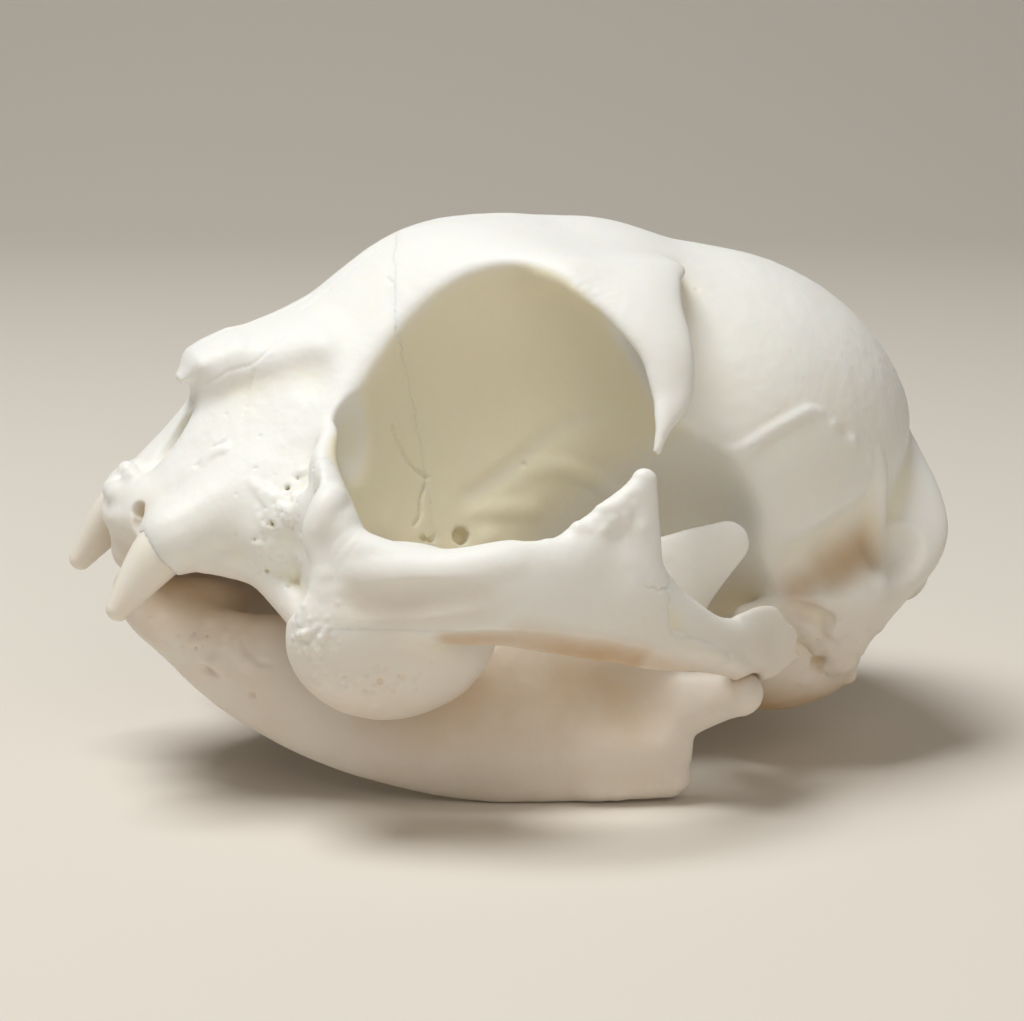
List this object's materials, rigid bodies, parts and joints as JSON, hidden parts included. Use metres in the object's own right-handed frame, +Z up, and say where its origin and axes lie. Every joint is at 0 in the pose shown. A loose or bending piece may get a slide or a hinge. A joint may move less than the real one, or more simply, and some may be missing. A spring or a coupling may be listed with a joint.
{
  "type": "cat skull",
  "caption": "Life-size skull of a short-faced cat with closed jaws, worn upper canines and no other teeth, resting on the lower edges of the jaw.",
  "frame": {"origin": "centre of the footprint on the floor, Z = 0 at the lower edge of the jaw", "axes": "the skull faces -Y, the animal's left is +X, +Z is up"},
  "size_m": [0.0652, 0.0826, 0.0524],
  "materials": {
    "bone": "bleached bone, smooth and half matte",
    "tooth": "worn enamel, soft gloss"
  },
  "bodies": {
    "root": {"braincase": "bone", "face": "bone", "cheekbone_left": "bone", "cheekbone_right": "bone", "bulla_left": "bone", "bulla_right": "bone", "mandible_left": "bone", "mandible_right": "bone", "canine_left": "tooth", "canine_right": "tooth"}
  },
  "joints": []
}
